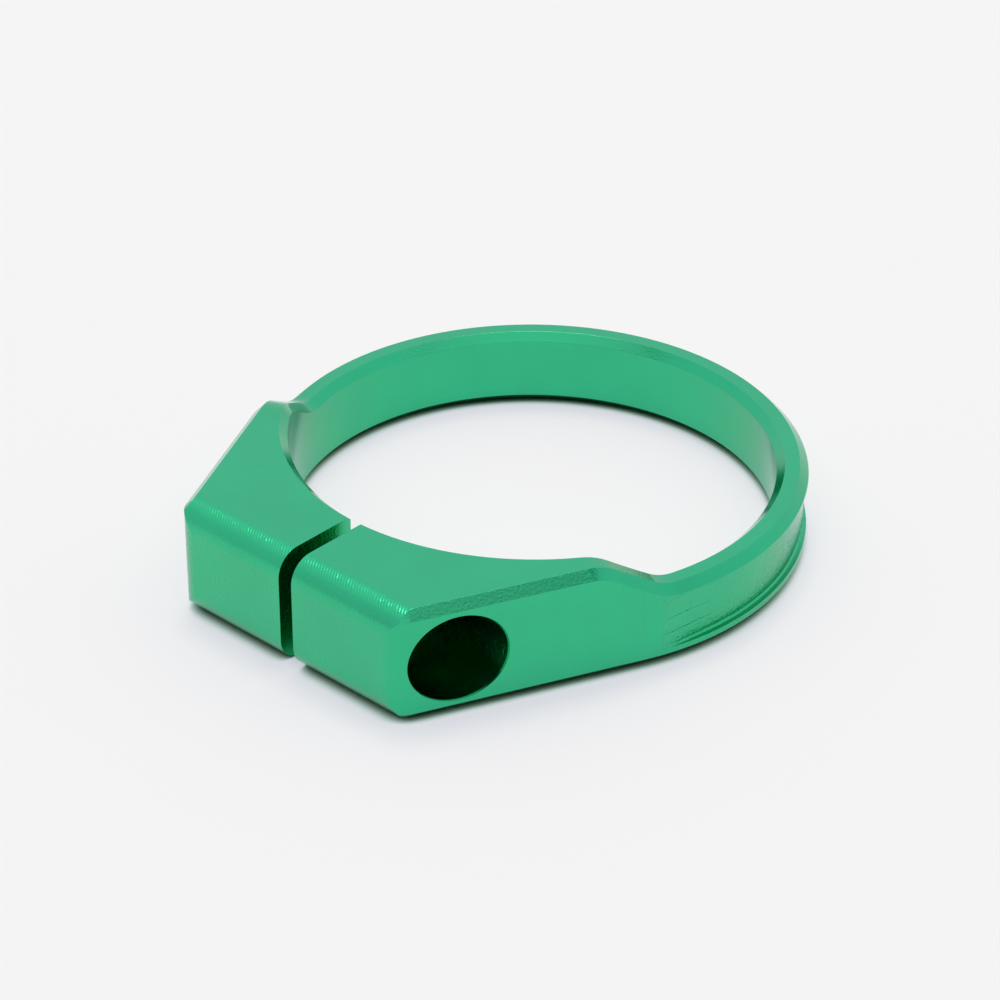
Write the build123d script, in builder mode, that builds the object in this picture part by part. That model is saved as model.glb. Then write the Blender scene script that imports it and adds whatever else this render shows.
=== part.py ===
from build123d import *
import os
from math import acos, atan2, cos, degrees, hypot, radians, sin, tan

os.makedirs("parts", exist_ok=True)

# Steerer tube clamp for a 1 1/2 inch steerer tube, machined from one piece of aluminium.
# Millimetres. The origin is on the bore axis at the bottom face, +Z runs up the bore,
# the clamping lug points to -Y and its screw lies along X, with the head on the +X side.

# Driving dimensions
bore_diameter = 38.1  # the tube's own diameter
ring_wall = 2.5  # thin band round the tube
ring_height = 6.5
lug_height = 9.5
front_distance = 27.0  # bore axis to the flat front of the lug
front_half_width = 11.2  # middle of the slot to the sharp front corner
lug_corner_radius = 2.0  # front corners, and the front's top and bottom edges
slot_width = 1.3

outer_chamfer = 0.7  # along the sides of the lug and round the ring, on top
bottom_chamfer = 0.8  # round the outline and round the bore, underneath
bore_top_chamfer = 0.65
slot_edge_break = 0.4  # on the two upright edges where the slot opens into the bore
edge_break = 0.1  # on the mouth of the counterbore

# The slope from the lug down to the ring, seen square to a side of the lug
slope_start = 4.3  # before the point where the lug's side runs into the ring
slope_angle = 30.0
slope_radius = 4.0

# The recess in the ring's outer wall, one on each side, between a lip and the top flange
recess_depth = 0.5
recess_start_angle = 20.9  # in front of the X axis
recess_floor_end = 22.0  # behind the X axis: from here on it grows shallower
run_out_radius = 27.0
run_out_sweep = 24.0  # of the run-out's own arc, ending clear of the ring
lip_height = 1.25
flange_underside = 5.7
recess_root_radius = 0.2

# M4 socket head cap screw: head 7.0, clearance hole, and core hole of the thread
screw_distance = 22.5  # bore axis to screw axis
counterbore_diameter = 7.1
clearance_diameter = 4.3
thread_core_diameter = 3.3
screw_seat = 6.0  # middle of the slot to the face under the head
thread_depth = 10.5  # middle of the slot to the end of the core hole's full width
drill_tip_angle = 118.0

# Worked out from the driving dimensions
bore_radius = bore_diameter / 2
outer_radius = bore_radius + ring_wall
recess_radius = outer_radius - recess_depth
clear_of_part = outer_radius + front_distance
clear_of_top = 2 * lug_height
screw_height = lug_height / 2
near = 0.01  # an edge this close to a place counts as lying on it

# Each side of the lug is tangent to the ring. Its outward direction makes this angle with the X axis.
corner_angle = atan2(-front_distance, front_half_width)
side_angle = corner_angle + acos(outer_radius / hypot(front_half_width, front_distance))
side_out = Vector(cos(side_angle), sin(side_angle))
side_along = Vector(-sin(side_angle), cos(side_angle))
side_tangent = side_out * outer_radius


def from_axis(edge):
    """How far the middle of an edge lies from the bore axis."""
    middle = edge @ 0.5
    return hypot(middle.X, middle.Y)


def side_profile_plane(side):
    """The upright plane along one side of the lug: side is 1 on the right and -1 on the left."""
    return Plane(
        origin=(0, 0, 0),
        x_dir=(side * side_along.X, side_along.Y, 0),
        z_dir=(side_out.X, side * side_out.Y, 0),
    )


# The recess cutter in plan: a tangent flat runs in, an arc follows the ring, a flatter arc runs out
run_in_angle = degrees(acos(recess_radius / outer_radius))
flat_end_angle = radians(run_in_angle - recess_start_angle)
flat_end = Vector(cos(flat_end_angle), sin(flat_end_angle)) * recess_radius
flat_direction = Vector(sin(flat_end_angle), -cos(flat_end_angle))
cut_length = recess_radius * tan(radians(run_in_angle))
cutter_overrun = 1.5  # times the length the flat cuts, so that it begins outside the ring
flat_start = flat_end + flat_direction * (cutter_overrun * cut_length)
floor_end_out = Vector(cos(radians(recess_floor_end)), sin(radians(recess_floor_end)))
run_out_center = floor_end_out * (recess_radius - run_out_radius)
with BuildPart() as recess_cutter:
    with BuildSketch(Plane.XY.offset(lip_height)):
        with BuildLine():
            flat = Line(flat_start, flat_end)
            floor_middle_angle = (flat_end_angle + radians(recess_floor_end)) / 2
            floor_middle = Vector(cos(floor_middle_angle), sin(floor_middle_angle)) * recess_radius
            floor = ThreePointArc(flat @ 1, floor_middle, floor_end_out * recess_radius)
            run_out = CenterArc(run_out_center, run_out_radius, recess_floor_end, run_out_sweep)
            ThreePointArc(flat @ 0, floor_middle.normalized() * clear_of_part, run_out @ 1)
        make_face()
    extrude(amount=flange_underside - lip_height)
    root_edges = (
        recess_cutter.edges()
        .group_by(Axis.Z)[0]
        .filter_by(lambda edge: from_axis(edge) < outer_radius)
    )
    fillet(root_edges, radius=recess_root_radius)
    mirror(about=Plane.YZ)

# The clamp
with BuildPart() as clamp_body:
    # Plan outline: the ring with the tapered lug in front, both straight through
    with BuildSketch():
        with BuildLine():
            lug_outline = FilletPolyline(
                (-side_tangent.X, side_tangent.Y),
                (-front_half_width, -front_distance),
                (front_half_width, -front_distance),
                (side_tangent.X, side_tangent.Y),
                radius=lug_corner_radius,
            )
            ThreePointArc(lug_outline @ 1, (0, outer_radius), lug_outline @ 0)
        make_face()
        Circle(bore_radius, mode=Mode.SUBTRACT)
    extrude(amount=lug_height)

    # The slope on each side, and the ring's lower top beyond it
    for side in (1, -1):
        with BuildSketch(side_profile_plane(side)):
            with BuildLine():
                crest = JernArc((-slope_start, lug_height), (1, 0), slope_radius, -slope_angle)
                drop = lug_height - ring_height - 2 * slope_radius * (1 - cos(radians(slope_angle)))
                ramp = PolarLine(crest @ 1, drop / sin(radians(slope_angle)), -slope_angle)
                foot = JernArc(ramp @ 1, ramp % 1, slope_radius, slope_angle)
                Polyline(
                    foot @ 1,
                    (clear_of_part, ring_height),
                    (clear_of_part, clear_of_top),
                    (-slope_start, clear_of_top),
                    crest @ 0,
                )
            make_face()
        extrude(amount=clear_of_part, both=True, mode=Mode.SUBTRACT)

    # Chamfers round the outline and round the bore, on top and underneath
    level_edges = clamp_body.edges().filter_by(Axis.Z, reverse=True)
    top_edges = level_edges.filter_by(lambda edge: (edge @ 0.5).Z > ring_height / 2)
    bottom_edges = level_edges.filter_by(lambda edge: (edge @ 0.5).Z < ring_height / 2)
    chamfer(
        top_edges.filter_by(lambda edge: from_axis(edge) > outer_radius - near),
        length=outer_chamfer,
    )
    chamfer(
        top_edges.filter_by(lambda edge: from_axis(edge) < bore_radius + near),
        length=bore_top_chamfer,
    )
    chamfer(bottom_edges, length=bottom_chamfer)

    # The front's top and bottom edges are rounded straight across, through the chamfers
    with BuildSketch(Plane.YZ):
        with Locations(((clear_of_part - front_distance) / 2, lug_height / 2)):
            front_profile = Rectangle(clear_of_part + front_distance, lug_height)
        fillet(front_profile.vertices().group_by(Axis.X)[0], radius=lug_corner_radius)
    extrude(amount=clear_of_part, both=True, mode=Mode.INTERSECT)

    add(recess_cutter.part, mode=Mode.SUBTRACT)

    # The slot, from the front into the bore, widening at 45 degrees to break the edges there
    with BuildSketch():
        with BuildLine():
            slot_side = slot_width / 2
            Polyline(
                (0, -clear_of_part),
                (slot_side, -clear_of_part),
                (slot_side, -bore_radius - slot_edge_break),
                (slot_side + 2 * slot_edge_break, -bore_radius + slot_edge_break),
                (0, -bore_radius + slot_edge_break),
            )
            mirror(about=Plane.YZ)
        make_face()
    extrude(amount=lug_height, mode=Mode.SUBTRACT)

    # The screw hole: counterbore and clearance hole in the right ear, core hole in the left ear
    mouth_x = outer_radius
    with Locations(Plane((mouth_x, -screw_distance, screw_height), x_dir=(0, 1, 0), z_dir=(1, 0, 0))):
        CounterBoreHole(
            radius=clearance_diameter / 2,
            counter_bore_radius=counterbore_diameter / 2,
            counter_bore_depth=mouth_x - screw_seat,
            depth=mouth_x,
        )
    with BuildSketch(Plane((0, -screw_distance, screw_height), x_dir=(-1, 0, 0), z_dir=(0, -1, 0))):
        with BuildLine():
            core_radius = thread_core_diameter / 2
            tip_length = core_radius / tan(radians(drill_tip_angle / 2))
            Polyline(
                (0, 0),
                (0, core_radius),
                (thread_depth, core_radius),
                (thread_depth + tip_length, 0),
                close=True,
            )
        make_face()
    revolve(axis=Axis((0, -screw_distance, screw_height), (1, 0, 0)), mode=Mode.SUBTRACT)

    # A fine edge break round the mouth of the counterbore
    mouth = clamp_body.edges().filter_by(GeomType.CIRCLE, reverse=True).filter_by(
        lambda edge: (edge @ 0.5).X > front_half_width / 2
        and hypot((edge @ 0.5).Y + screw_distance, (edge @ 0.5).Z - screw_height)
        < counterbore_diameter / 2 + near
    )
    chamfer(mouth, length=edge_break)

clamp_body.part.label = "clamp_body"
export_step(clamp_body.part, "parts/clamp_body.step")
print("clamp_body: solids", len(clamp_body.solids()), "volume", round(clamp_body.part.volume, 1))
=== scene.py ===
# %% [markdown]
# # A steerer tube clamp in green anodised aluminium
#
# The real part is milled from one piece of aluminium, blasted with fine beads and then anodised green.
# Its solid comes from the CAD model and is already right, so nothing is modelled over it here.
# What this lesson adds is everything that the solid doesn't say: the metal, the marks its cutters left,
# the light and the camera.

from math import cos, pi, radians, sin, tan

import bmesh
import bpy
from mathutils import Matrix, Vector


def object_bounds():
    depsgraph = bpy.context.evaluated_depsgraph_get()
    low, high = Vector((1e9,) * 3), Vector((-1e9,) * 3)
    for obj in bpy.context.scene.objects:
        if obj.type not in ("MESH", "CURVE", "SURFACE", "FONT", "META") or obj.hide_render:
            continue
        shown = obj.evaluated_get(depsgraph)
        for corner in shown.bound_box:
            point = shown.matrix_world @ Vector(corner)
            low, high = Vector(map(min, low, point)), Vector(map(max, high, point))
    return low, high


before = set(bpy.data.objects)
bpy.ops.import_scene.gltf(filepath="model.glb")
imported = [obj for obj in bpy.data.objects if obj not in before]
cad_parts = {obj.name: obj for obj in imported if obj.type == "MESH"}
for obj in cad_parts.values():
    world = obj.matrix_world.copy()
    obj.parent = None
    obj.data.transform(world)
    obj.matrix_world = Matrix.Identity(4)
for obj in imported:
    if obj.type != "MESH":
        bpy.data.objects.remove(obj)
MM = 0.001
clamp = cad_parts["clamp_body"]
cad_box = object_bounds()
low, high = cad_box
print("clamp, mm:", [round((b - a) / MM, 2) for a, b in zip(low, high)])

# %% [markdown]
# ## The camera
#
# A camera could be placed by eye, but this one was solved from the part's edges: its direction is given as
# an azimuth and an elevation, as on a turntable, and its aim as the pixel where the bore axis meets the
# underside. A long lens at a short distance is what a close-up of a small part needs: a wider one would
# make the near lug too large beside the ring.

# %% Camera
PIXELS = 1000.0
FOCAL_PIXELS = 3561.8
CAMERA_AZIMUTH = radians(42.707)
CAMERA_ELEVATION = radians(31.983)
CAMERA_ROLL = radians(0.034)
CAMERA_DISTANCE = 281.73 * MM
AXIS_PIXEL = (532.17, 524.89)

back = Vector(
    (
        sin(CAMERA_AZIMUTH) * cos(CAMERA_ELEVATION),
        -cos(CAMERA_AZIMUTH) * cos(CAMERA_ELEVATION),
        sin(CAMERA_ELEVATION),
    )
)
level = Vector((cos(CAMERA_AZIMUTH), sin(CAMERA_AZIMUTH), 0.0))
upright = back.cross(level)
right = level * cos(CAMERA_ROLL) + upright * sin(CAMERA_ROLL)
up = upright * cos(CAMERA_ROLL) - level * sin(CAMERA_ROLL)
aside = (AXIS_PIXEL[0] - PIXELS / 2) / FOCAL_PIXELS * CAMERA_DISTANCE
below = (AXIS_PIXEL[1] - PIXELS / 2) / FOCAL_PIXELS * CAMERA_DISTANCE

camera = bpy.data.objects.new("camera", bpy.data.cameras.new("camera"))
bpy.context.scene.collection.objects.link(camera)
camera.data.sensor_width = 36.0
camera.data.lens = FOCAL_PIXELS / PIXELS * camera.data.sensor_width
camera.data.clip_start = 0.01
camera.data.clip_end = 20.0
camera.data.dof.use_dof = False
axes = Matrix((right, up, back)).transposed().to_4x4()
camera.matrix_world = Matrix.Translation(CAMERA_DISTANCE * back - aside * right + below * up) @ axes
bpy.context.scene.camera = camera
print("lens, mm:", round(camera.data.lens, 1), "at", [round(c / MM) for c in camera.location])

# %% [markdown]
# ## Helpers for materials
#
# Colours are written as they look on a screen, in sRGB hex, and one function turns them to the linear
# numbers that a shader works with. One more adds a node with its settings and links, so that a material
# reads like a list.


# %% Colour and node helpers
def linear(hex_colour):
    """sRGB hex to linear red, green, blue and an alpha of 1."""
    parts = [int(hex_colour[i : i + 2], 16) / 255 for i in (1, 3, 5)]
    return [c / 12.92 if c <= 0.04045 else ((c + 0.055) / 1.055) ** 2.4 for c in parts] + [1.0]


def add(tree, kind, settings=None, **inputs):
    """A node of that kind. Settings are its properties; inputs are values or other nodes' outputs."""
    node = tree.nodes.new("ShaderNode" + kind)
    for name, value in (settings or {}).items():
        setattr(node, name, value)
    for name, value in inputs.items():
        key = int(name[1:]) if name[0] == "i" and name[1:].isdigit() else name.replace("_", " ")
        if isinstance(value, bpy.types.NodeSocket):
            tree.links.new(value, node.inputs[key])
        else:
            node.inputs[key].default_value = value
    return node


def new_material(name):
    """An empty material, ready for nodes."""
    material = bpy.data.materials.new(name)
    material.use_nodes = True
    material.node_tree.nodes.clear()
    return material, material.node_tree


# %% [markdown]
# ## Anodised aluminium
#
# Dyed anodising is a clear oxide film, full of dye, on bright metal. Light crosses the dye twice and comes
# back green from the metal, while a little is turned back white by the film's own skin, and much more of
# it at a grazing angle. It could be a plain green metal, but then the far sides of the ring would stay green
# where the real ones turn pale and bluish. So the shader is a green metal under a clear coat, and the
# metal's own edge tint is a pale one.
#
# The patterns below all need to know where on the part a point lies, so the first nodes turn the object's
# own coordinates to millimetres, and to a distance from the bore axis and from the screw axis.

# %% Places on the part, in millimetres
DYED_METAL = "#00BB80"
DYED_EDGE = "#7ED2C1"  # at a grazing angle, where the light hardly enters the dye
WORN_EDGE = "#8CD8BC"
EDGE_WEAR = 0.15  # how far a worn edge goes towards that colour
# The holes' darker colour is their cut finish; in the slot the same colour is painted shade.
DEEP_CUT_AND_SLOT_SHADE = "#009C58"  # the sawn slot and the drilled holes, where the dye took darker
BORE_RADIUS = 19.05
SCREW_Y, SCREW_Z = -22.5, 4.75
LUG_HEIGHT, FRONT_Y, FILLET_RADIUS = 9.5, -27.0, 2.0

anodised, tree = new_material("bead_blasted_green_anodised_aluminium")
place = add(tree, "TexCoord").outputs["Object"]
millimetres = add(tree, "VectorMath", {"operation": "SCALE"}, i0=place, Scale=1 / MM).outputs[0]
x, y, z = add(tree, "SeparateXYZ", i0=millimetres).outputs
aside_x = add(tree, "Math", {"operation": "ABSOLUTE"}, i0=x).outputs[0]
flat_place = add(tree, "CombineXYZ", X=x, Y=y).outputs[0]
from_bore = add(tree, "VectorMath", {"operation": "LENGTH"}, i0=flat_place).outputs["Value"]
screw_y = add(tree, "Math", {"operation": "SUBTRACT"}, i0=y, i1=SCREW_Y).outputs[0]
screw_z = add(tree, "Math", {"operation": "SUBTRACT"}, i0=z, i1=SCREW_Z).outputs[0]
across_screw = add(tree, "CombineXYZ", Y=screw_y, Z=screw_z).outputs[0]
from_screw = add(tree, "VectorMath", {"operation": "LENGTH"}, i0=across_screw).outputs["Value"]
ring_angle = add(tree, "Math", {"operation": "ARCTAN2"}, i0=y, i1=aside_x).outputs[0]


SMOOTH = {"interpolation_type": "SMOOTHSTEP"}
COLOURS = {"data_type": "RGBA"}
NOISE_LOW, NOISE_HIGH = 0.3, 0.7  # noise seldom leaves this range


def window(tree, value, start, end, soft):
    """1 where the value lies between start and end, falling softly to 0 outside them."""
    rise = add(tree, "MapRange", SMOOTH, Value=value, From_Min=start - soft, From_Max=start)
    fall = add(tree, "MapRange", SMOOTH, Value=value, From_Min=end + soft, From_Max=end)
    return add(tree, "Math", {"operation": "MULTIPLY"}, i0=rise.outputs[0], i1=fall.outputs[0]).outputs[0]


# %% [markdown]
# ## The marks that the tools left
#
# Real marks are a few thousandths of a millimetre deep, far too fine for geometry: modelled as a surface
# they would need millions of faces. A bump does it: every pattern is a height in millimetres, and their sum
# tilts the light. Each pattern sits where its tool worked, so it is multiplied by a mask of the place.
#
# - Bead blasting leaves tiny dimples over the outside, 0.1 to 0.2 mm across.
# - The round on the front's top edge was cut in passes 0.274 mm apart, which run over it aslant.
# - The recess was milled in level passes, so its run-in shows faint level streaks and three deeper lines.
# - Each side shows a hairline where the straight cut was blended into the round one.
# - A fine burr runs along the middle of the lip below the recess.
# - The bore, the counterbore and the thread were turned and bored, so their marks run round the axis.

# %% Blasted grain
GRAIN_WIDTH = 0.2
LEVEL_GRAIN, UPRIGHT_GRAIN = 0.0055, 0.045  # depths: the outside walls took a coarser blast
OUTSIDE_RADIUS = 20.9  # what lies further from the bore axis is outside
LEANING, STEEP = 0.5, 0.1  # how far a face may turn up or down and still count as an upright one
facing_out = add(tree, "NewGeometry").outputs["Normal"]
facing_x, _, facing_z = add(tree, "SeparateXYZ", i0=facing_out).outputs
up_share = add(tree, "Math", {"operation": "ABSOLUTE"}, i0=facing_z).outputs[0]
outside = add(tree, "Math", {"operation": "GREATER_THAN"}, i0=from_bore, i1=OUTSIDE_RADIUS).outputs[0]
upright = add(tree, "MapRange", Value=up_share, From_Min=LEANING, From_Max=STEEP).outputs[0]
upright = add(tree, "Math", {"operation": "MULTIPLY"}, i0=upright, i1=outside).outputs[0]
grain_depth = add(tree, "MapRange", Value=upright, To_Min=LEVEL_GRAIN, To_Max=UPRIGHT_GRAIN).outputs[0]
grain = add(tree, "TexNoise", Vector=millimetres, Scale=1 / GRAIN_WIDTH, Detail=1.0)
grain_height = add(tree, "Math", {"operation": "MULTIPLY"}, i0=grain.outputs[0], i1=grain_depth).outputs[0]

# %% Cutter marks over the front's top edge
MARK_PITCH = 0.274
MARK_SLANT = 0.57  # how far a mark moves along the edge for each millimetre that it climbs
MARK_SHALLOW, MARK_DEEP = 0.002, 0.008
over = add(tree, "Math", {"operation": "SUBTRACT"}, i0=z, i1=LUG_HEIGHT - FILLET_RADIUS).outputs[0]
out = add(tree, "Math", {"operation": "SUBTRACT"}, i0=FRONT_Y + FILLET_RADIUS, i1=y).outputs[0]
round_angle = add(tree, "Math", {"operation": "ARCTAN2"}, i0=over, i1=out).outputs[0]
slant = MARK_SLANT * FILLET_RADIUS
slanted = add(tree, "Math", {"operation": "MULTIPLY_ADD"}, i0=round_angle, i1=slant, i2=x).outputs[0]
mark_phase = add(tree, "Math", {"operation": "MULTIPLY"}, i0=slanted, i1=2 * pi / MARK_PITCH).outputs[0]
marks = add(tree, "Math", {"operation": "SINE"}, i0=mark_phase).outputs[0]
on_round = window(tree, round_angle, radians(62), radians(66), radians(26))
straight_across = window(tree, facing_x, -0.02, 0.02, 0.06)
on_round = add(tree, "Math", {"operation": "MULTIPLY"}, i0=on_round, i1=straight_across).outputs[0]
mark_wander = add(tree, "TexNoise", Vector=millimetres, Scale=2.2, Detail=1.0)
mark_depth = add(
    tree,
    "MapRange",
    Value=mark_wander.outputs[0],
    From_Min=NOISE_LOW,
    From_Max=NOISE_HIGH,
    To_Min=MARK_SHALLOW,
    To_Max=MARK_DEEP,
).outputs[0]
marks = add(tree, "Math", {"operation": "MULTIPLY"}, i0=marks, i1=mark_depth).outputs[0]
mark_height = add(tree, "Math", {"operation": "MULTIPLY"}, i0=marks, i1=on_round).outputs[0]

# %% Level passes in the recess
RECESS_RADIUS = 21.05
RECESS_START = radians(-20.9)
RECESS_BOTTOM, RECESS_TOP = 1.3, 5.65
PASS_LEVELS, PASS_WIDTH = (2.5, 3.8, 5.4), 0.07
STREAK_WIDTH, STREAK_LENGTH = 0.16, 5.0
STREAK_DEPTH, PASS_DEPTH = 0.05, 0.02
lengths = RECESS_RADIUS / STREAK_LENGTH
along = add(tree, "Math", {"operation": "MULTIPLY"}, i0=ring_angle, i1=lengths).outputs[0]
upwards = add(tree, "Math", {"operation": "MULTIPLY"}, i0=z, i1=1 / STREAK_WIDTH).outputs[0]
drawn_out = add(tree, "CombineXYZ", X=along, Z=upwards).outputs[0]
streaks = add(tree, "TexNoise", Vector=drawn_out, Scale=1.0, Detail=2.0).outputs[0]
streak_height = add(tree, "Math", {"operation": "MULTIPLY"}, i0=streaks, i1=STREAK_DEPTH).outputs[0]
for level in PASS_LEVELS:
    groove = window(tree, z, level, level, PASS_WIDTH)
    groove = add(tree, "Math", {"operation": "MULTIPLY"}, i0=groove, i1=-PASS_DEPTH).outputs[0]
    streak_height = add(tree, "Math", {"operation": "ADD"}, i0=groove, i1=streak_height).outputs[0]
in_recess = window(tree, from_bore, RECESS_RADIUS - 0.1, RECESS_RADIUS + 0.55, 0.05)
between_lips = window(tree, z, RECESS_BOTTOM, RECESS_TOP, 0.04)
started = add(tree, "Math", {"operation": "GREATER_THAN"}, i0=ring_angle, i1=RECESS_START).outputs[0]
near_run_in = window(tree, ring_angle, radians(-30), radians(-15), radians(14))
near_run_in = add(tree, "Math", {"operation": "MULTIPLY"}, i0=near_run_in, i1=started).outputs[0]
recess_mask = add(tree, "Math", {"operation": "MULTIPLY"}, i0=in_recess, i1=near_run_in).outputs[0]
recess_mask = add(tree, "Math", {"operation": "MULTIPLY"}, i0=recess_mask, i1=between_lips).outputs[0]
recess_height = add(tree, "Math", {"operation": "MULTIPLY"}, i0=streak_height, i1=recess_mask).outputs[0]

# %% The hairline where the side was blended into the ring
SIDE_ANGLE = radians(-25.0)
BLEND_LINE, BLEND_WIDTH, BLEND_DEPTH = -0.3, 0.08, 0.02
side_x = add(tree, "Math", {"operation": "MULTIPLY"}, i0=aside_x, i1=-sin(SIDE_ANGLE)).outputs[0]
along_side = add(tree, "Math", {"operation": "MULTIPLY_ADD"}, i0=y, i1=cos(SIDE_ANGLE), i2=side_x).outputs[0]
hairline = window(tree, along_side, BLEND_LINE, BLEND_LINE, BLEND_WIDTH)
hairline = add(tree, "Math", {"operation": "MULTIPLY"}, i0=hairline, i1=upright).outputs[0]
hairline_height = add(tree, "Math", {"operation": "MULTIPLY"}, i0=hairline, i1=-BLEND_DEPTH).outputs[0]

# %% The burr line along the top of the lip
LIP_LINE_RADIUS, LIP_TOP, BURR_HEIGHT = 21.3, 1.25, 0.006
lip_line = window(tree, from_bore, LIP_LINE_RADIUS, LIP_LINE_RADIUS, 0.05)
on_lip = window(tree, z, LIP_TOP - 0.1, LIP_TOP + 0.1, 0.05)
lip_line = add(tree, "Math", {"operation": "MULTIPLY"}, i0=lip_line, i1=on_lip).outputs[0]
lip_height = add(tree, "Math", {"operation": "MULTIPLY"}, i0=lip_line, i1=BURR_HEIGHT).outputs[0]

# %% Turned marks in the bore
TURNED_WIDTH, TURNED_DEPTH = 0.12, 0.0012
on_bore = add(tree, "Math", {"operation": "LESS_THAN"}, i0=from_bore, i1=BORE_RADIUS + 0.05).outputs[0]
turned_rings = add(tree, "TexNoise", {"noise_dimensions": "1D"}, W=z, Scale=1 / TURNED_WIDTH, Detail=2.0)
turned = add(tree, "Math", {"operation": "MULTIPLY"}, i0=turned_rings.outputs[0], i1=on_bore).outputs[0]
turned_height = add(tree, "Math", {"operation": "MULTIPLY"}, i0=turned, i1=TURNED_DEPTH).outputs[0]

# %% Bored marks and the thread in the screw hole
HOLE_RADIUS = 3.62  # the counterbore and its edge break
BORED_WIDTH, BORED_DEPTH = 0.15, 0.008
THREAD_PITCH, THREAD_DEPTH = 0.7, 0.12
CORE_RADIUS, FAR_EAR = 1.7, -0.6  # the threaded hole lies in the far ear, beyond the slot
in_hole = add(tree, "Math", {"operation": "LESS_THAN"}, i0=from_screw, i1=HOLE_RADIUS).outputs[0]
bored_rings = add(tree, "TexNoise", {"noise_dimensions": "1D"}, W=x, Scale=1 / BORED_WIDTH, Detail=2.0)
bored = add(tree, "Math", {"operation": "MULTIPLY"}, i0=bored_rings.outputs[0], i1=in_hole).outputs[0]
bored_height = add(tree, "Math", {"operation": "MULTIPLY"}, i0=bored, i1=BORED_DEPTH).outputs[0]
turn = add(tree, "Math", {"operation": "ARCTAN2"}, i0=screw_z, i1=screw_y).outputs[0]
per_turn = 2 * pi / THREAD_PITCH
advance = add(tree, "Math", {"operation": "MULTIPLY_ADD"}, i0=x, i1=per_turn, i2=turn).outputs[0]
helix = add(tree, "Math", {"operation": "SINE"}, i0=advance).outputs[0]
threaded = add(tree, "Math", {"operation": "LESS_THAN"}, i0=from_screw, i1=CORE_RADIUS).outputs[0]
far_ear = add(tree, "Math", {"operation": "LESS_THAN"}, i0=x, i1=FAR_EAR).outputs[0]
threaded = add(tree, "Math", {"operation": "MULTIPLY"}, i0=threaded, i1=far_ear).outputs[0]
helix = add(tree, "Math", {"operation": "MULTIPLY"}, i0=helix, i1=threaded).outputs[0]
thread_height = add(tree, "Math", {"operation": "MULTIPLY"}, i0=helix, i1=THREAD_DEPTH).outputs[0]

# %% [markdown]
# ## Putting the skin together
#
# The heights are added up and turned to a bump. Under it, a bevel shader rounds every edge by a few
# hundredths of a millimetre: tumbling and blasting leave no edge truly sharp, and it is that small round
# which catches the light at the corners. The dye is thinnest and soonest rubbed there, so the same bevel
# tells where to make it paler: wherever the rounded direction leans away from the true one. The slot and the
# holes are out of the blast's reach, so they shine less. The holes are darker inside by their cut finish,
# while the slot's darker colour is painted shade that fades out towards the bore, where light comes in. The
# dye varies by up to three percent from place to place.

# %% Surface, colour and roughness
EDGE_ROUND = 0.025
COAT_IOR = 1.5  # anodic oxide with its pores full of dye
# Painted shade in the slot: full towards the front, fading out near the bore, where light comes in.
SLOT_SHADE_FADE_START, SLOT_SHADE_FADE_END = -21.3, -19.8  # the slot's faces grow lighter towards the bore
SLOT_HALF_WIDTH = 0.66
SMOOTHEST, ROUGHEST, CUT_ROUGHNESS = 0.225, 0.265, 0.3
COAT_ROUGHNESS, CUT_COAT = 0.12, 0.2
WEAR_START, WEAR_FULL = 0.995, 0.9  # cosines of the lean where an edge starts to pale and is palest
DYE_SPREAD = 0.03
heights = grain_height
tool_marks = (mark_height, recess_height, hairline_height, lip_height, turned_height, bored_height)
for more in tool_marks + (thread_height,):
    heights = add(tree, "Math", {"operation": "ADD"}, i0=heights, i1=more).outputs[0]
rounded = add(tree, "Bevel", {"samples": 4}, Radius=EDGE_ROUND * MM)
bump = add(tree, "Bump", Strength=1.0, Distance=MM, Height=heights, Normal=rounded.outputs[0])

# Painted shade inside the slot, lifting towards the bore; the holes keep their darker cut finish.
slot_painted_shade = window(tree, aside_x, -1.0, SLOT_HALF_WIDTH, 0.02)
slot_shade_fade = add(tree, "MapRange", Value=y, From_Min=SLOT_SHADE_FADE_END, From_Max=SLOT_SHADE_FADE_START).outputs[0]
slot_painted_shade = add(tree, "Math", {"operation": "MULTIPLY"}, i0=slot_painted_shade, i1=slot_shade_fade).outputs[0]
cut_finish_and_slot_shade = add(tree, "Math", {"operation": "MAXIMUM"}, i0=slot_painted_shade, i1=in_hole).outputs[0]
dye = add(tree, "TexNoise", Vector=millimetres, Scale=0.25, Detail=3.0)
shade = add(
    tree,
    "MapRange",
    Value=dye.outputs[0],
    From_Min=NOISE_LOW,
    From_Max=NOISE_HIGH,
    To_Min=1 - DYE_SPREAD,
    To_Max=1 + DYE_SPREAD,
).outputs[0]
lean = add(tree, "VectorMath", {"operation": "DOT_PRODUCT"}, i0=rounded.outputs[0], i1=facing_out)
lean = lean.outputs["Value"]
worn = add(tree, "MapRange", Value=lean, From_Min=WEAR_START, From_Max=WEAR_FULL, To_Max=EDGE_WEAR)
worn = worn.outputs[0]
rubbed = add(tree, "Mix", COLOURS, i0=worn, i6=linear(DYED_METAL), i7=linear(WORN_EDGE)).outputs[2]
colour = add(tree, "Mix", COLOURS, i0=cut_finish_and_slot_shade, i6=rubbed, i7=linear(DEEP_CUT_AND_SLOT_SHADE)).outputs[2]
colour = add(tree, "VectorMath", {"operation": "SCALE"}, i0=colour, Scale=shade).outputs[0]
satin = add(
    tree,
    "MapRange",
    Value=grain.outputs[0],
    From_Min=NOISE_LOW,
    From_Max=NOISE_HIGH,
    To_Min=SMOOTHEST,
    To_Max=ROUGHEST,
).outputs[0]
roughness = add(tree, "Mix", {"data_type": "FLOAT"}, i0=cut_finish_and_slot_shade, i2=satin, i3=CUT_ROUGHNESS).outputs[0]
coat = add(tree, "MapRange", Value=cut_finish_and_slot_shade, To_Min=1.0, To_Max=CUT_COAT).outputs[0]
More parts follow.
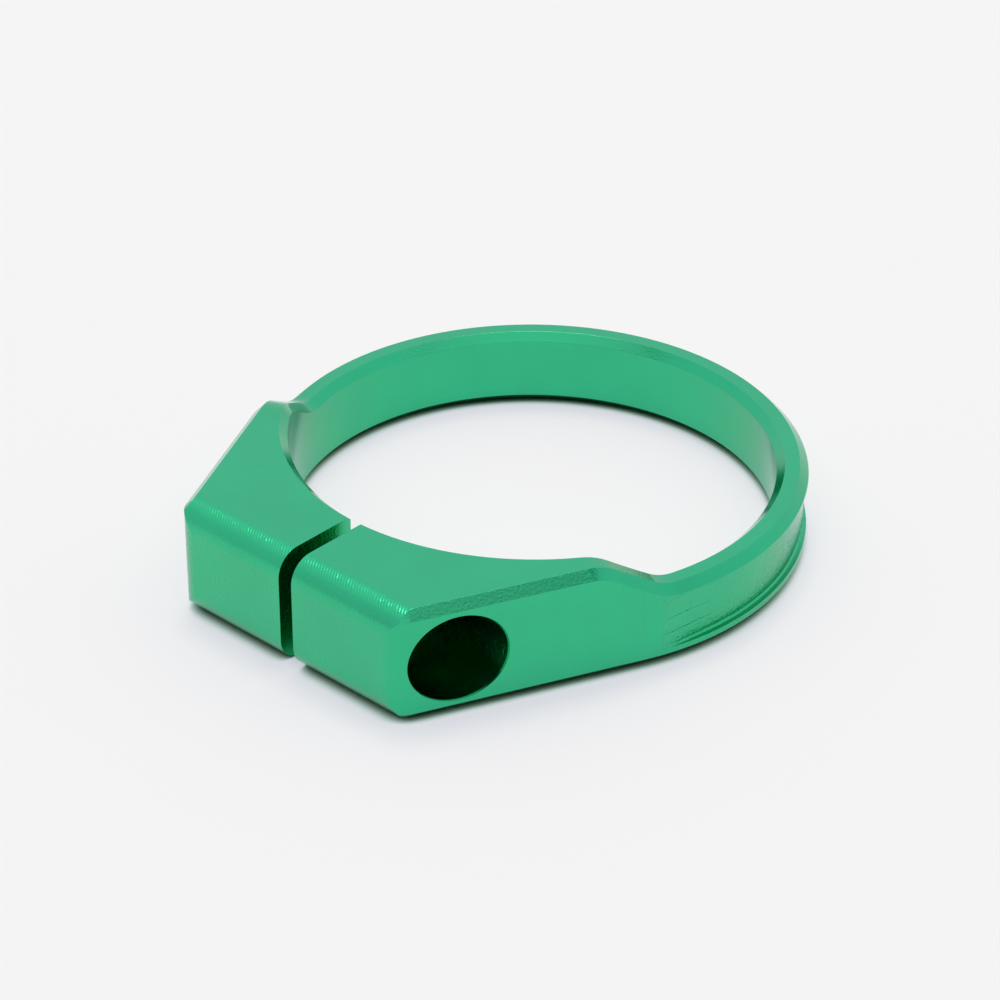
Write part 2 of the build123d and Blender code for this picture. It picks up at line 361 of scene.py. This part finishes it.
skin = add(
    tree,
    "BsdfPrincipled",
    Base_Color=colour,
    Metallic=1.0,
    Roughness=roughness,
    Specular_Tint=linear(DYED_EDGE),
    Coat_Weight=coat,
    Coat_IOR=COAT_IOR,
    Coat_Roughness=COAT_ROUGHNESS,
    Normal=bump.outputs[0],
    Coat_Normal=bump.outputs[0],
)
add(tree, "OutputMaterial", Surface=skin.outputs[0])
for slot in clamp.material_slots:
    slot.material = anodised
print("material:", anodised.name, "with", len(tree.nodes), "nodes")

# %% [markdown]
# ## The paper sweep
#
# A small part is shot on a sheet of white paper whose edges curve up, so that no edge of a table shows. The
# paper gives more than a background: the lower half of every upright face mirrors it. It could be a flat
# plane, but a low camera would look over its edge. So one profile, flat and then bent upwards, is spun once
# round the middle. It is matt, and its colour is a shade under white, so that it never clips.
#
# Light also spreads sideways inside thick paper, which fills the shadow close round the part and leaves it
# a cool grey. Scattering inside the sheet would do that at a high cost, so that fill is painted light
# instead:
# a glow in a cool paper colour, seen by the camera and by mirrored rays. An ambient occlusion node paints it
# down to shade deep under the part's chamfers, with a painted green bounce there. The rest keeps the shadow.

# %% Floor
FLAT_RADIUS = 0.8
BEND_RADIUS = 0.15
BEND_ANGLE = radians(80)
BEND_STEPS = 12
TURN_STEPS = 96
# The two glow colours below are painted light: a fill in the shadow and a green bounce in the crevices.
PAINTED_FILL_PAPER = "#C4C7D3"  # what the camera sees of the paper even in the deepest shadow
SURFACE_PAPER = "#A59E8C"  # the rest, which the shadow darkens
MATT_PAPER = "#F2F2F3"  # what lights the part from below
PAINTED_BOUNCE_GREEN = "#7FC8B4"  # light that the part throws under its own chamfers
CREVICE_REACH = 1.5 * MM
CREVICE_DARK, CREVICE_CLEAR = 0.25, 0.6  # shares of open sky
FIBRES_PER_METRE, FIBRE_HEIGHT = 900.0, 0.05 * MM

paper, tree = new_material("matt_white_paper")
on_sheet = add(tree, "TexCoord").outputs["Object"]
fibres = add(tree, "TexNoise", Vector=on_sheet, Scale=FIBRES_PER_METRE, Detail=2.0)
fibre_bump = add(tree, "Bump", Strength=0.05, Distance=FIBRE_HEIGHT, Height=fibres.outputs[0])
matt = add(tree, "BsdfDiffuse", Color=linear(MATT_PAPER), Normal=fibre_bump.outputs[0])
warm = add(tree, "BsdfDiffuse", Color=linear(SURFACE_PAPER), Normal=fibre_bump.outputs[0])
# Painted shade: occlusion dims the painted glow and turns it green in the crevices under the part.
near_sky = add(tree, "AmbientOcclusion", {"samples": 8}, Distance=CREVICE_REACH).outputs["AO"]
painted_fill_share = add(tree, "MapRange", Value=near_sky, From_Min=CREVICE_DARK, From_Max=CREVICE_CLEAR).outputs[0]
painted_fill_colour = add(tree, "Mix", COLOURS, i0=painted_fill_share, i6=linear(PAINTED_BOUNCE_GREEN), i7=linear(PAINTED_FILL_PAPER)).outputs[2]
painted_fill_glow = add(tree, "Emission", Color=painted_fill_colour, Strength=painted_fill_share)
seen_paper_with_painted_fill = add(tree, "AddShader", i0=warm.outputs[0], i1=painted_fill_glow.outputs[0]).outputs[0]
path = add(tree, "LightPath").outputs
seen = path["Is Camera Ray"]
for ray in ("Is Glossy Ray", "Is Transmission Ray"):
    seen = add(tree, "Math", {"operation": "MAXIMUM"}, i0=seen, i1=path[ray]).outputs[0]
sheet_paper = add(tree, "MixShader", i0=seen, i1=matt.outputs[0], i2=seen_paper_with_painted_fill).outputs[0]
add(tree, "OutputMaterial", Surface=sheet_paper)

sheet = bmesh.new()
profile = [sheet.verts.new((0.0, 0.0, 0.0)), sheet.verts.new((FLAT_RADIUS, 0.0, 0.0))]
for step in range(1, BEND_STEPS + 1):
    angle = BEND_ANGLE * step / BEND_STEPS
    profile.append(
        sheet.verts.new((FLAT_RADIUS + BEND_RADIUS * sin(angle), 0.0, BEND_RADIUS * (1 - cos(angle))))
    )
edges = [sheet.edges.new(pair) for pair in zip(profile, profile[1:])]
bmesh.ops.spin(
    sheet,
    geom=profile + edges,
    axis=(0, 0, 1),
    cent=(0, 0, 0),
    steps=TURN_STEPS,
    angle=2 * pi,
    use_merge=True,
)
bmesh.ops.remove_doubles(sheet, verts=sheet.verts, dist=1e-6)
bmesh.ops.recalc_face_normals(sheet, faces=sheet.faces)
for face in sheet.faces:
    face.smooth = True
if sum(face.normal.z for face in sheet.faces) < 0:
    bmesh.ops.reverse_faces(sheet, faces=sheet.faces)
floor = bpy.data.objects.new("floor", bpy.data.meshes.new("floor"))
sheet.to_mesh(floor.data)
sheet.free()
floor.data.materials.append(paper)
bpy.context.scene.collection.objects.link(floor)
print("floor faces:", len(floor.data.polygons))

# %% [markdown]
# ## The light tent
#
# The part's colours say how it was lit. Its floor shadow is faint and falls towards the camera, so the lamp
# is overhead and a little behind. Level faces mirror what stands behind the part, low down, and they are
# even: a white wall. The chamfers mirror the ceiling, which is brighter. But the round along the front's top
# edge has a dark band with a sharp lower end. It mirrors what stands above the paper on the camera's side:
# there the tent is open, and the room beyond it is dark. Even light from everywhere would be simpler, and
# would lose that band and with it the look of metal.
#
# The softbox is a real lamp, because it is small enough to cast shadows. The walls and the ceiling are
# painted into the world by direction, which costs nothing and has no noise.

# %% Softbox, overhead and a little behind
BOX_DISTANCE = 1.2
BOX_AZIMUTH = radians(136)  # from +X towards +Y: behind the part, opposite the camera
BOX_LEAN = radians(14.5)  # away from straight overhead
BOX_SPREAD = radians(10)  # from its middle to its rim, seen from the part
BOX_RADIANCE = 9.1
box_radius = BOX_DISTANCE * tan(BOX_SPREAD)
towards_box = Vector((sin(BOX_LEAN) * cos(BOX_AZIMUTH), sin(BOX_LEAN) * sin(BOX_AZIMUTH), cos(BOX_LEAN)))
softbox = bpy.data.objects.new("overhead_softbox", bpy.data.lights.new("overhead_softbox", "AREA"))
softbox.data.shape = "DISK"
softbox.data.size = 2 * box_radius
softbox.data.energy = BOX_RADIANCE * pi * pi * box_radius**2
softbox.location = BOX_DISTANCE * towards_box
softbox.rotation_euler = towards_box.to_track_quat("Z", "Y").to_euler()
bpy.context.scene.collection.objects.link(softbox)
print("softbox, m:", round(softbox.data.size, 2), "W:", round(softbox.data.energy, 2))

# %% Tent walls and ceiling
WALL_COLOUR = "#EEF7FF"  # daylight comes through the walls, a little bluer than the lamp
WALL_RADIANCE = 0.88
WALL_MIDDLE = radians(128.5)  # from +X towards +Y, nearly opposite the camera
WALL_HALF_TURN = 107  # degrees to each side of its middle
WALL_FADE = 8
CEILING_RADIANCE = 1.0
CEILING_START, CEILING_FADE = 46, 6  # degrees above the horizon
BELOW_RADIANCE = 0.9  # under the paper, for a view from below
world = bpy.data.worlds.new("light_tent")
world.use_nodes = True
bpy.context.scene.world = world
tree = world.node_tree
tree.nodes.clear()
direction = add(tree, "TexCoord").outputs["Generated"]
level_direction = add(tree, "VectorMath", {"operation": "MULTIPLY"}, i0=direction, i1=(1, 1, 0)).outputs[0]
level_direction = add(tree, "VectorMath", {"operation": "NORMALIZE"}, i0=level_direction).outputs[0]
wall_middle = (cos(WALL_MIDDLE), sin(WALL_MIDDLE), 0)
facing = add(tree, "VectorMath", {"operation": "DOT_PRODUCT"}, i0=level_direction, i1=wall_middle)
facing = facing.outputs["Value"]
elevation = add(tree, "SeparateXYZ", i0=direction).outputs["Z"]
wall_end, wall_start = cos(radians(WALL_HALF_TURN + WALL_FADE)), cos(radians(WALL_HALF_TURN))
wall = add(
    tree,
    "MapRange",
    SMOOTH,
    Value=facing,
    From_Min=wall_end,
    From_Max=wall_start,
    To_Max=WALL_RADIANCE,
).outputs[0]
ceiling_start, ceiling_end = sin(radians(CEILING_START)), sin(radians(CEILING_START + CEILING_FADE))
ceiling = add(tree, "MapRange", SMOOTH, Value=elevation, From_Min=ceiling_start, From_Max=ceiling_end)
ceiling = ceiling.outputs[0]
light = add(tree, "Mix", {"data_type": "FLOAT"}, i0=ceiling, i2=wall, i3=CEILING_RADIANCE).outputs[0]
below = add(tree, "Math", {"operation": "LESS_THAN"}, i0=elevation, i1=0.0).outputs[0]
light = add(tree, "Mix", {"data_type": "FLOAT"}, i0=below, i2=light, i3=BELOW_RADIANCE).outputs[0]
white = (1, 1, 1, 1)
tint = add(tree, "Mix", COLOURS, i0=ceiling, i6=linear(WALL_COLOUR), i7=white).outputs[2]
sky = add(tree, "Background", Color=tint, Strength=light)
add(tree, "OutputWorld", Surface=sky.outputs[0])
print("world:", world.name, "with", len(tree.nodes), "nodes")

# %% Colour management
bpy.context.scene.view_settings.view_transform = "Standard"
